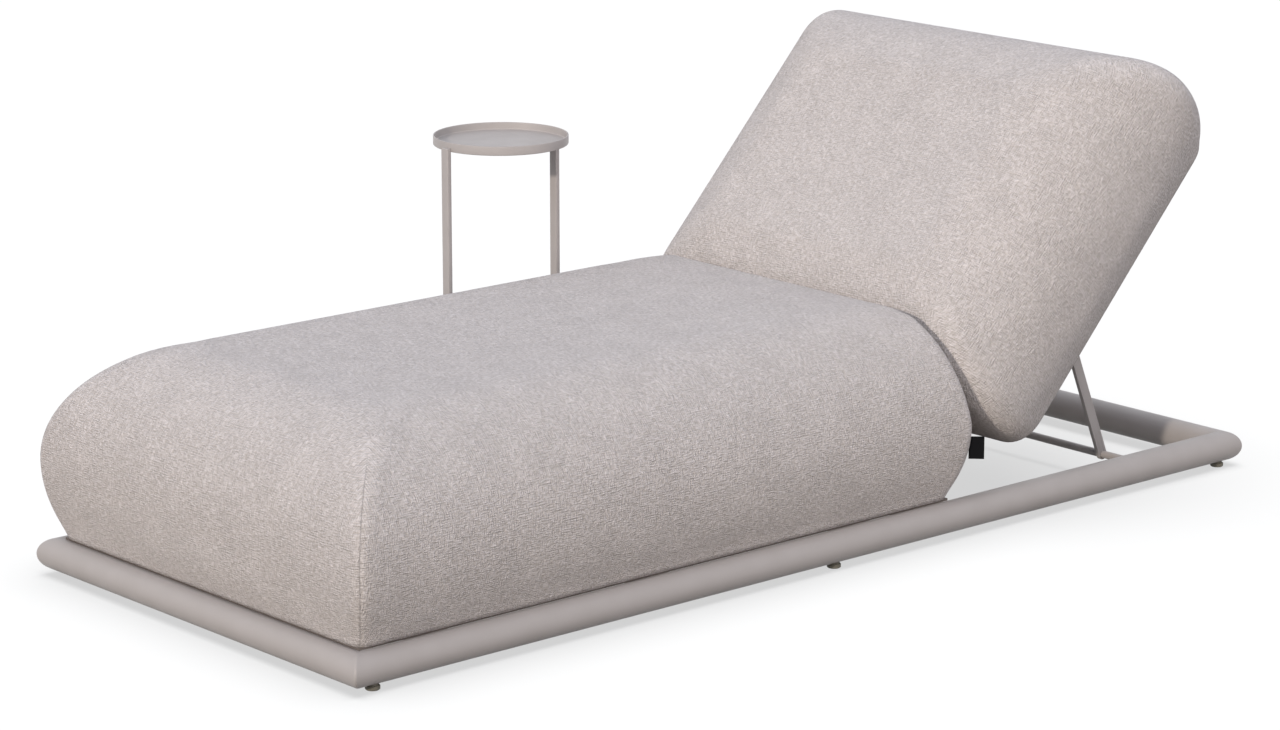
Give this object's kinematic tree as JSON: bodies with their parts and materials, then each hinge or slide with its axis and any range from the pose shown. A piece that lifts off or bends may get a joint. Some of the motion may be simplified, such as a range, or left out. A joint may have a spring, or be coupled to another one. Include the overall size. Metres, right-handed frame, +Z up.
{
  "type": "sun lounger",
  "caption": "Low tube-framed sun lounger with a deep upholstered seat, a reclining backrest on a folding prop stay and a round side tray on posts.",
  "frame": {"origin": "centre of the bounding box at floor level, under the glides", "axes": "+X across the width away from the side tray, +Y along the length from the foot to the head, +Z up"},
  "size_m": [1.0342, 2.06, 0.7881],
  "materials": {
    "frame_paint": "fine matt powder coat, warm taupe grey",
    "fabric": "woven melange outdoor fabric, light beige grey",
    "tab": "plain black woven tape",
    "glide": "dark khaki grey moulding",
    "board": "matt coated sheet",
    "pin": "satin steel",
    "cap": "matt rubber"
  },
  "bodies": {
    "frame": {"side_rail_near": "frame_paint", "side_rail_far": "frame_paint", "foot_rail": "frame_paint", "head_rail": "frame_paint", "glide_foot_near": "glide", "glide_foot_far": "glide", "glide_middle_near": "glide", "glide_middle_far": "glide", "glide_head_near": "glide", "glide_head_far": "glide", "seat_bar_foot": "frame_paint", "seat_bar_middle": "frame_paint", "seat_bar_rear": "frame_paint", "hinge_bar": "frame_paint", "seat_board": "board", "seat_cushion": "fabric", "seam_tab": "tab", "hinge_upright_near": "frame_paint", "hinge_upright_far": "frame_paint", "stay_rest_near": "frame_paint", "stay_rest_far": "frame_paint", "side_tray": "frame_paint", "tray_post_head": "frame_paint", "tray_post_foot": "frame_paint", "tray_saddle_head": "frame_paint", "tray_saddle_foot": "frame_paint", "tray_screws_head": "pin", "tray_screws_foot": "pin"},
    "backrest": {"back_cushion": "fabric", "back_board": "board", "hinge_arm_near": "frame_paint", "hinge_arm_far": "frame_paint", "hinge_pin_near": "pin", "hinge_pin_far": "pin", "stay_lug_near": "frame_paint", "stay_lug_far": "frame_paint", "stay_pin_near": "pin", "stay_pin_far": "pin"},
    "stay": {"stay_strut_near": "frame_paint", "stay_strut_far": "frame_paint", "foot_bar": "frame_paint", "foot_bar_cap_near": "cap", "foot_bar_cap_far": "cap"}
  },
  "joints": [
    {"name": "backrest_recline", "type": "hinge", "parent": "frame", "child": "backrest", "pos_m": [0.06338, 0.3564, 0.2235], "axis": [1, 0, 0], "range_deg": [-47, 0]},
    {"name": "stay_fold", "type": "hinge", "parent": "backrest", "child": "stay", "pos_m": [0.06338, 0.67004, 0.29884], "axis": [1, 0, 0], "range_deg": [0, 114.6]}
  ],
  "couplings": [
    {"joint": "stay_fold", "follows": "backrest_recline", "ratio": -2.4362}
  ]
}
